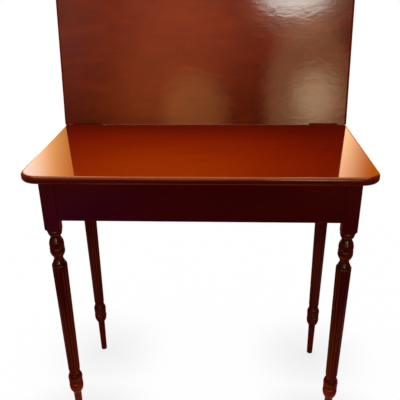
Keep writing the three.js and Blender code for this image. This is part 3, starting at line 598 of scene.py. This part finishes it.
def leafBoard(name):
    size, hinge = leafSizes, hingeSizes
    top, bottom = -size["gap"], -size["gap"] - size["thickness"]
    bm = bmesh.new()
    angles = [i / size["arrisSteps"] * math.pi / 2 for i in range(size["arrisSteps"] + 1)]
    rings = [leafRing(bm, size["arris"] * (1 - math.sin(angle)),
                      bottom + size["arris"] * (1 - math.cos(angle))) for angle in angles]
    rings += [leafRing(bm, size["arris"] * (1 - math.cos(angle)),
                       top - size["arris"] * (1 - math.sin(angle))) for angle in angles]
    for low, high in zip(rings, rings[1:]):
        for i in range(len(low) - 1):
            bm.faces.new((low[i], low[i + 1], high[i + 1], high[i]))
    bm.faces.new(rings[0][::-1])
    bm.faces.new(rings[-1])
    bm.faces.new([r[0] for r in rings] + [r[-1] for r in reversed(rings)])
    bmesh.ops.recalc_face_normals(bm, faces=bm.faces[:])
    board = pieceFrom(bm, name)
    # each hinge has a housing for its plate and a round trough for its knuckles
    half = hinge["length"] / 2 + hinge["seat"]
    deep = hinge["outer"] + hinge["plateThickness"] + hinge["seat"]
    wide, hollow = hinge["plateWidth"] + hinge["seat"], hinge["knuckle"] + hinge["clearance"]
    over = hinge["overrun"] * mm
    for x in hingeCentres:
        cut(board, boxPiece("housing", ((x - half) * mm, -deep * mm, -wide * mm),
                            ((x + half) * mm, over, over)))
        trough = lathePiece("trough", [(0, -half), (hollow, -half), (hollow, half), (0, half)],
                            hinge["sides"])
        cut(board, moved(trough, Matrix.Rotation(math.pi / 2, 4, "Y"),
                         Matrix.Translation((x * mm, 0, 0))))
    smoothed(board)
    # painted shade: the stain darkens from the veneer's edge down the rounded side, which faces away from
    # the light
    paintedShade = board.data.attributes.new("paintedShade", "FLOAT", "POINT")
    for v, mark in zip(board.data.vertices, paintedShade.data):
        height = v.co.z / mm
        down = min((top - height) / size["paintedShadeAbove"], (height - bottom) / size["paintedShadeBelow"])
        mark.value = min(max(down, 0), 1) ** size["paintedShadeCurve"]
    return board


lowerBoard = moved(leafBoard("lowerLeafBoard"), lowerPlace)
finished(lowerBoard, lowerVeneer, "lower_top", ["lower_leaf"])
upperBoard = moved(leafBoard("upperLeafBoard"), upperTurn)
finished(upperBoard, shadedUpperVeneer, "upper_top", ["upper_leaf"])
print("leaves made")


# Legs: a square block, turnings above and below, and a reeded shaft between them

legSizes = {"sides": 64, "foot": 8.6, "block": 35, "blockLength": 131, "blockArris": 1.8,
            "blockChamfer": 12, "chamferArris": 0.4, "arrisSteps": 5, "shoulder": 11, "shoulderSteps": 16,
            "overrun": 2, "height": 729, "seat": 15.4, "seatDepth": 4, "grooveReach": 3,
            "grooveDeep": 2.2}
shaftSizes = {"reeds": 12, "depth": 2.0, "lowRadius": 14.9, "highRadius": 18.2, "low": 181.5,
              "high": 502.5, "lowNose": 6, "highNose": 2, "pointsPerReed": 12, "rows": 56,
              "crowding": 0.92, "mergeWithin": 0.01}
# each turned stretch climbs by its rise to a new radius, swollen or hollowed as a half sine, in steps
lowerTurning = [(105, 10.1, 0, 2), (6, 12.2, -0.3, 6), (14, 17.5, 1.0, 12), (15, 17.4, 0.6, 12),
                (0.8, 16.2, 0, 1), (9.4, 16.4, 1.4, 10), (0.8, 17.6, 0, 1), (21, 14.3, 2, 18),
                (9.5, 14.0, -0.5, 6)]
upperTurning = [(0, 17.2, 0, 1), (2.4, 17.0, 0.8, 8), (0.2, 15.7, 0, 1), (6, 14.2, 0.4, 6),
                (10, 10.7, -0.5, 8), (5, 11.9, -0.1, 5), (10.4, 17.0, 0.7, 9), (7.5, 16.9, 0.6, 8),
                (0.8, 15.7, 0, 1), (4.8, 15.8, 1.8, 9), (0.8, 16.6, 0, 1), (27.6, 11.3, 2.7, 22),
                (1.5, 11.3, 0, 1), (8.5, 16, 0.8, 8), (0.8, 15.0, 0, 1), (6.4, 16.7, 1.3, 9),
                (0.6, 16.4, 0, 1), (2.2, 17.5, 0.1, 3)]


def turnedProfile(height, radius, stretches):
    profile = [(0, height), (radius, height)]
    for rise, to, swell, steps in stretches:
        for i in range(1, steps + 1):
            share = i / steps
            profile.append((radius + (to - radius) * share + swell * math.sin(math.pi * share),
                            height + rise * share))
        height, radius = height + rise, to
    return profile + [(0, height)]


def openTree(name, kinds):
    # a geometry tree and its inputs, whose names are given under the kind of their sockets
    tree = bpy.data.node_groups.new(name, "GeometryNodeTree")
    tree.interface.new_socket("Geometry", in_out="INPUT", socket_type="NodeSocketGeometry")
    tree.interface.new_socket("Geometry", in_out="OUTPUT", socket_type="NodeSocketGeometry")
    for kind, names in kinds.items():
        for socket in names:
            tree.interface.new_socket(socket, in_out="INPUT", socket_type="NodeSocket" + kind)
    tree.interface.new_socket("Material", in_out="INPUT", socket_type="NodeSocketMaterial")
    return tree, addNode(tree, "NodeGroupInput").outputs


def closeTree(tree, made, material):
    # the tree gives out real geometry in its material
    real = addNode(tree, "GeometryNodeRealizeInstances", {"Geometry": made})
    dressed = addNode(tree, "GeometryNodeSetMaterial", {"Geometry": real.outputs[0],
                                                        "Material": material})
    addNode(tree, "NodeGroupOutput", {0: dressed.outputs[0]})
    return tree


def reedTree():
    # rows of one lobed ring: reeds that swell between the nose at each end
    tree, given = openTree("reededShaft", {
        "Int": ("Reeds", "Points per Reed", "Rows"),
        "Float": ("Low Radius", "High Radius", "Depth", "Low Height", "High Height", "Low Nose",
                  "High Nose")})
    spot = addNode(tree, "GeometryNodeInputPosition").outputs[0]
    spot = addNode(tree, "ShaderNodeSeparateXYZ", {0: spot}).outputs
    # each line is a result, its operation and its terms: an earlier result, a named input or a number
    formula = [
        ("around", "MULTIPLY_ADD", "Reeds", "Points per Reed", 1),
        ("turn", "ADD", "across grid", 0.5),
        ("rise", "ADD", "up grid", 0.5),
        # rows crowd together at both ends, where the noses are
        ("whole turn", "MULTIPLY", "rise", math.tau),
        ("wave", "SINE", "whole turn"),
        ("share", "MULTIPLY_ADD", "wave", -shaftSizes["crowding"] / math.tau, "rise"),
        ("length", "SUBTRACT", "High Height", "Low Height"),
        ("height", "MULTIPLY_ADD", "share", "length", "Low Height"),
        # how far across its reed a point lies, from -1 to 1
        ("reed", "MULTIPLY_ADD", "turn", "Reeds", 0.5),
        ("phase", "FRACT", "reed"),
        ("across", "MULTIPLY_ADD", "phase", 2, -1),
        ("across squared", "MULTIPLY", "across", "across"),
        # how near it is to a nose, where the reed rounds off
        ("above low end", "SUBTRACT", "height", "Low Height"),
        ("from low", "DIVIDE", "above low end", "Low Nose"),
        ("below high end", "SUBTRACT", "High Height", "height"),
        ("from high", "DIVIDE", "below high end", "High Nose"),
        ("nearer end", "MINIMUM", "from low", "from high"),
        ("near", "MINIMUM", "nearer end", 1),
        ("short", "SUBTRACT", 1, "near"),
        ("short squared", "MULTIPLY", "short", "short"),
        ("round", "SUBTRACT", 1, "across squared"),
        ("left", "SUBTRACT", "round", "short squared"),
        ("swell", "MAXIMUM", "left", 0),
        ("lobe", "SQRT", "swell"),
        ("sunk", "SUBTRACT", "lobe", 1),
        ("grow", "SUBTRACT", "High Radius", "Low Radius"),
        ("crest", "MULTIPLY_ADD", "grow", "share", "Low Radius"),
        ("radius", "MULTIPLY_ADD", "Depth", "sunk", "crest"),
        ("angle", "MULTIPLY", "turn", math.tau),
        ("sine", "SINE", "angle"),
        ("x", "MULTIPLY", "radius", "sine"),
        ("cosine", "COSINE", "angle"),
        ("back", "MULTIPLY", "radius", "cosine"),
        ("y", "MULTIPLY", "back", -1),
    ]
    result = {name: given[name] for name in given.keys() if name not in ("", "Geometry", "Material")}
    result |= {"across grid": spot["X"], "up grid": spot["Y"]}
    for name, operation, *terms in formula:
        terms = {i: result.get(term, term) for i, term in enumerate(terms)}
        result[name] = addNode(tree, "ShaderNodeMath", terms, operation=operation).outputs[0]
    grid = addNode(tree, "GeometryNodeMeshGrid", {"Size X": 1.0, "Size Y": 1.0,
                                                  "Vertices X": result["around"],
                                                  "Vertices Y": given["Rows"]}).outputs["Mesh"]
    at = addNode(tree, "ShaderNodeCombineXYZ", {"X": result["x"], "Y": result["y"],
                                                "Z": result["height"]}).outputs[0]
    placed = addNode(tree, "GeometryNodeSetPosition", {"Geometry": grid, "Position": at})
    closed = addNode(tree, "GeometryNodeMergeByDistance", {"Geometry": placed.outputs[0],
                                                           "Distance": shaftSizes["mergeWithin"] * mm})
    return closeTree(tree, closed.outputs[0], given["Material"])


def fromTree(name, mesh, tree, values):
    # runs a node tree on a mesh, its inputs set by name, and keeps the result as a plain mesh
    piece = bpy.data.objects.new(name, mesh)
    bpy.context.scene.collection.objects.link(piece)
    modifier = piece.modifiers.new(name, "NODES")
    modifier.node_group = tree
    for item in tree.interface.items_tree:
        if item.item_type == "SOCKET" and item.in_out == "INPUT" and item.name in values:
            modifier[item.identifier] = values[item.name]
    return bake(piece)


def reededShaft(tree):
    size = shaftSizes
    shaft = fromTree("shaft", bpy.data.meshes.new("shaftSeed"), tree, {
        "Reeds": size["reeds"], "Points per Reed": size["pointsPerReed"], "Rows": size["rows"],
        "Low Radius": size["lowRadius"] * mm, "High Radius": size["highRadius"] * mm,
        "Depth": size["depth"] * mm, "Low Height": size["low"] * mm, "High Height": size["high"] * mm,
        "Low Nose": size["lowNose"] * mm, "High Nose": size["highNose"] * mm,
        "Material": frameWood["Z"]})
    bm = bmesh.new()
    bm.from_mesh(shaft.data)
    bmesh.ops.holes_fill(bm, edges=[e for e in bm.edges if e.is_boundary], sides=0)
    bmesh.ops.recalc_face_normals(bm, faces=bm.faces[:])
    discard(shaft)
    return pieceFrom(bm, "shaft")


def legBlock():
    # the square block with its inner corner cut back and its shoulders turned round
    size = legSizes
    half, low, high = size["block"] / 2, size["height"] - size["blockLength"], size["height"]
    back, ease, fine = half - size["blockChamfer"], size["blockArris"], size["chamferArris"]
    corners = [(-half, -half, ease), (half, -half, ease), (half, back, fine), (back, half, fine),
               (-half, half, ease)]
    bm = bmesh.new()
    base = bm.faces.new([bm.verts.new((x * mm, y * mm, low * mm)) for x, y, _ in corners])
    raised = bmesh.ops.extrude_face_region(bm, geom=[base])["geom"]
    bmesh.ops.translate(bm, verts=[v for v in raised if isinstance(v, bmesh.types.BMVert)],
                        vec=(0, 0, (high - low) * mm))
    for x, y, radius in corners:
        upright = [e for e in bm.edges if all((v.co.xy - Vector((x, y)) * mm).length < tiny
                                              for v in e.verts)]
        bmesh.ops.bevel(bm, geom=upright, offset=radius * mm, segments=size["arrisSteps"], profile=0.5,
                        affect="EDGES")
    bmesh.ops.recalc_face_normals(bm, faces=bm.faces[:])
    block = pieceFrom(bm, "block")
    # a turned form wider than the block, but for its rounded foot, takes the block's lower corners off
    reach, rise, over = half * math.sqrt(2), size["shoulder"], size["overrun"]
    shoulder = [(0, low), (half, low)]
    for i in range(1, size["shoulderSteps"] + 1):
        angle = i / size["shoulderSteps"] * math.pi / 2
        shoulder.append((half + (reach - half) * math.sin(angle), low + rise * (1 - math.cos(angle))))
    shoulder += [(reach + over, low + rise + over), (reach + over, high + over), (0, high + over)]
    return ordered(cut(block, lathePiece("shoulders", shoulder, size["sides"]), "INTERSECT"))


def markGrooves(leg):
    # painted shade: the stain darkens where the round work lies below the crests just above and below it,
    # in grooves and between reeds
    size, crests = legSizes, {}
    for v in leg.data.vertices:
        level = round(v.co.z / mm)
        if level < size["height"] - size["blockLength"]:
            crests[level] = max(crests.get(level, 0), v.co.xy.length)
    paintedShade = leg.data.attributes.new("paintedShade", "FLOAT", "POINT")
    for v, mark in zip(leg.data.vertices, paintedShade.data):
        level = round(v.co.z / mm)
        if level in crests:
            near = range(level - size["grooveReach"], level + size["grooveReach"] + 1)
            deep = max(crests.get(i, 0) for i in near) - v.co.xy.length
            mark.value = min(deep / mm / size["grooveDeep"], 1)


tree = reedTree()
lower = lathePiece("lower", turnedProfile(0, legSizes["foot"], lowerTurning), legSizes["sides"])
# the upper turning starts sunk into the shaft's top
seat, sunk = legSizes["seat"], legSizes["seatDepth"]
upper = lathePiece("upper", turnedProfile(shaftSizes["high"] - sunk, seat,
                                          [(sunk, seat, 0, 1)] + upperTurning), legSizes["sides"])
leg = smoothed(joined("leg", lower, reededShaft(tree), upper, legBlock()))
markGrooves(leg)
corners = {"front_left": 0, "front_right": 1, "rear_right": 2, "rear_left": 3}
for corner, turns in corners.items():
    low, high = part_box("leg_" + corner)
    placed = bpy.data.objects.new("turnedLeg_" + corner, leg.data.copy())
    bpy.context.scene.collection.objects.link(placed)
    moved(placed, Matrix.Rotation(turns * math.pi / 2, 4, "Z"),
          Matrix.Translation(((low.x + high.x) / 2, (low.y + high.y) / 2, 0)))
    finished(placed, frameWood["Z"], "frame", ["leg_" + corner])
discard(leg)
print("legs made")


# Hinges: plates with rolled knuckles, and slotted screws set into them

def hingeHalf(name, first):
    # a plate with every second knuckle, counted from the first, and countersunk for its screws
    hinge, screw = hingeSizes, screwSizes
    pitchLength = (hinge["length"] + hinge["knuckleGap"]) / hinge["knuckles"]
    front, rear = -(hinge["outer"] + hinge["plateThickness"]), -hinge["outer"]
    top = -(hinge["knuckle"] + hinge["clearance"])
    half = boxPiece("plate", (-hinge["length"] / 2 * mm, front * mm, -hinge["plateWidth"] * mm),
                    (hinge["length"] / 2 * mm, rear * mm, top * mm), hinge["plateArris"] * mm,
                    hinge["arrisSteps"])
    bore, outer, ease = hinge["pin"] + hinge["pinClearance"], hinge["knuckle"], hinge["knuckleArris"]
    parts = []
    for i in range(first, hinge["knuckles"], 2):
        start = -hinge["length"] / 2 + i * pitchLength
        end = start + pitchLength - hinge["knuckleGap"]
        barrel = lathePiece("barrel", [(bore, start), (outer - ease, start), (outer, start + ease),
                                       (outer, end - ease), (outer - ease, end), (bore, end),
                                       (bore, start)], hinge["sides"])
        moved(barrel, Matrix.Rotation(math.pi / 2, 4, "Y"))
        neck = boxPiece("neck", (start * mm, front * mm, (top - hinge["neckOverlap"]) * mm),
                        (end * mm, rear * mm, -(hinge["pin"] + hinge["neckClearance"]) * mm))
        parts += [barrel, neck]
    hole, sink = screw["shank"] + screw["holeClearance"], screw["head"] + screw["sinkClearance"]
    deep, over = screw["holeDepth"], screw["sinkOverrun"]
    for x in screwPlaces:
        tool = lathePiece("countersink", [(0, -deep), (hole, -deep), (hole, -screw["headDepth"]),
                                          (sink, screw["sinkRise"]), (sink, over), (0, over)],
                          screw["sinkSides"])
        cut(half, moved(tool, Matrix.Rotation(-math.pi / 2, 4, "X"),
                        Matrix.Translation((x * mm, rear * mm, -hinge["screwRow"] * mm))))
    return smoothed(joined(name, half, *parts))


def screwTree():
    # one slotted countersunk screw, set on every point it is given and turned with it
    size = screwSizes
    tree, given = openTree("slottedScrews", {
        "Float": ("Head Radius", "Head Depth", "Shank Radius", "Length", "Slot Width", "Slot Depth"),
        "Vector": ("Rotation",)})
    head = addNode(tree, "GeometryNodeMeshCone", {"Vertices": size["headSides"],
                                                  "Radius Top": given["Head Radius"],
                                                  "Radius Bottom": given["Shank Radius"],
                                                  "Depth": given["Head Depth"]}).outputs["Mesh"]
    sink = addNode(tree, "ShaderNodeMath", {0: given["Head Depth"], 1: -1}, operation="MULTIPLY")
    sink = addNode(tree, "ShaderNodeCombineXYZ", {"Z": sink.outputs[0]})
    head = addNode(tree, "GeometryNodeTransform", {"Geometry": head, "Translation": sink.outputs[0]})
    blade = addNode(tree, "ShaderNodeMath", {0: given["Slot Depth"], 1: 2}, operation="MULTIPLY")
    blade = addNode(tree, "ShaderNodeCombineXYZ", {"X": size["slotLength"] * mm, "Y": given["Slot Width"],
                                                   "Z": blade.outputs[0]})
    slot = addNode(tree, "GeometryNodeMeshCube", {"Size": blade.outputs[0]}).outputs["Mesh"]
    slotted = addNode(tree, "GeometryNodeMeshBoolean", {"Mesh 1": head.outputs[0], "Mesh 2": slot},
                      operation="DIFFERENCE", solver="EXACT").outputs["Mesh"]
    shankLength = addNode(tree, "ShaderNodeMath", {0: given["Length"], 1: given["Head Depth"]},
                          operation="SUBTRACT")
    shank = addNode(tree, "GeometryNodeMeshCone", {"Vertices": size["shankSides"],
                                                   "Radius Top": given["Shank Radius"],
                                                   "Radius Bottom": size["tip"] * mm,
                                                   "Depth": shankLength.outputs[0]}).outputs["Mesh"]
    down = addNode(tree, "ShaderNodeMath", {0: given["Length"], 1: -1}, operation="MULTIPLY")
    down = addNode(tree, "ShaderNodeCombineXYZ", {"Z": down.outputs[0]})
    shank = addNode(tree, "GeometryNodeTransform", {"Geometry": shank, "Translation": down.outputs[0]})
    screw = addNode(tree, "GeometryNodeJoinGeometry", {0: slotted})
    tree.links.new(shank.outputs[0], screw.inputs[0])
    spots = addNode(tree, "GeometryNodeInstanceOnPoints", {"Points": given["Geometry"],
                                                           "Instance": screw.outputs[0],
                                                           "Rotation": given["Rotation"]})
    return closeTree(tree, spots.outputs[0], given["Material"])


def screwSet(name, tree, places, rotation, material, place=Matrix()):
    # screws at places in their own frame, which is then laid in its place
    mesh = bpy.data.meshes.new(name + "Places")
    mesh.from_pydata(places, [], [])
    size = screwSizes
    screws = fromTree(name, mesh, tree, {
        "Head Radius": size["head"] * mm, "Head Depth": size["headDepth"] * mm,
        "Shank Radius": size["shank"] * mm, "Length": size["length"] * mm,
        "Slot Width": size["slotWidth"] * mm, "Slot Depth": size["slotDepth"] * mm,
        "Rotation": rotation, "Material": material})
    return smoothed(moved(screws, place), angle=40)


tree = screwTree()
leaves = {"lower": (lowerPlace, 1, 0), "upper": (upperTurn, -1, 1)}  # place, way round, first knuckle
for side, x in zip(("left", "right"), hingeCentres):
    for leaf, (place, way, first) in leaves.items():
        plate = hingeHalf(f"hingePlate_{side}_{leaf}", first)
        moved(plate, place @ Matrix.Translation((way * x * mm, 0, 0)))
        finished(plate, brass, leaf + "_top", [f"hinge_{side}_{leaf}_plate"])

spots = [((x + along) * mm, -hingeSizes["outer"] * mm, -hingeSizes["screwRow"] * mm)
         for x in hingeCentres for along in screwPlaces]
for leaf, (place, _, _) in leaves.items():
    screws = screwSet(f"hingeScrews_{leaf}", tree, spots, (-math.pi / 2, 0, 0), brass, place)
    finished(screws, brass, leaf + "_top",
             [f"hinge_screw_{side}_{leaf}_{i + 1}" for side in ("left", "right")
              for i in range(hingeSizes["screws"])])

flangeNames = [f"flange_screw_{i + 1}" for i in range(4)]
spots = []
for name in flangeNames:
    low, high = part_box(name)
    spots.append(((low.x + high.x) / 2, (low.y + high.y) / 2, low.z))
screws = screwSet("flangeScrews", tree, spots, (math.pi, 0, 0), steel)
finished(screws, steel, "lower_top", flangeNames)
print("hinges and screws made")


# Felt strips on the aprons, with a soft uneven nap

# the nap's depth, its scale in waves to the metre, and how far apart the strips lie in its pattern
feltSizes = {"arris": 0.8, "arrisSteps": 3, "longEdge": 50, "cuts": 60, "napDepth": 0.12, "napScale": 60,
             "napShift": 7.3}


def feltStrip(name, node, shift):
    low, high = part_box(node)
    size = feltSizes
    strip = boxPiece(name, low, high, size["arris"] * mm, size["arrisSteps"])
    bm = bmesh.new()
    bm.from_mesh(strip.data)
    discard(strip)
    longWays = [e for e in bm.edges if e.calc_length() > size["longEdge"] * mm]
    bmesh.ops.subdivide_edges(bm, edges=longWays, cuts=size["cuts"], use_grid_fill=True)
    for v in bm.verts:
        spot = v.co * size["napScale"] + Vector((shift, 0, 0))
        v.co += noise.noise_vector(spot) * size["napDepth"] * mm
        v.co = Vector(min(max(c, a), b) for c, a, b in zip(v.co, low, high))
    strip = pieceFrom(bm, name)
    strip.data.shade_smooth()
    finished(strip, felt, "frame", [node])


for i, side in enumerate(("front", "rear", "left", "right")):
    feltStrip(f"feltNap_{side}", f"felt_strip_{side}", i * feltSizes["napShift"])
print("felt laid")


# The rest of the frame keeps its solids and gets its finishes

dressing = {
    "front_apron": frameWood["X"], "rear_apron": frameWood["X"],
    "left_apron": frameWood["Y"], "right_apron": frameWood["Y"],
    "well_panel": plywood, "well_ledger_front": beech["X"], "well_ledger_rear": beech["X"],
    "pivot_board": beech["Y"], "board_cleat_front": beech["X"], "board_cleat_rear": beech["X"],
    "stop_dowel": beech["Z"], "slip_ring": nylon, "pivot_flange": steel, "pivot_washer": steel,
    "pivot_lock_nut": steel, "hinge_left_pin": brass, "hinge_right_pin": brass,
}
for corner in corners:
    dressing["corner_brace_" + corner] = beech["X"]
    dressing["leg_bolt_" + corner] = steel
    dressing["leg_nut_" + corner] = steel
for name, material in dressing.items():
    nodes[name].material_slots[0].material = material
print("frame dressed")
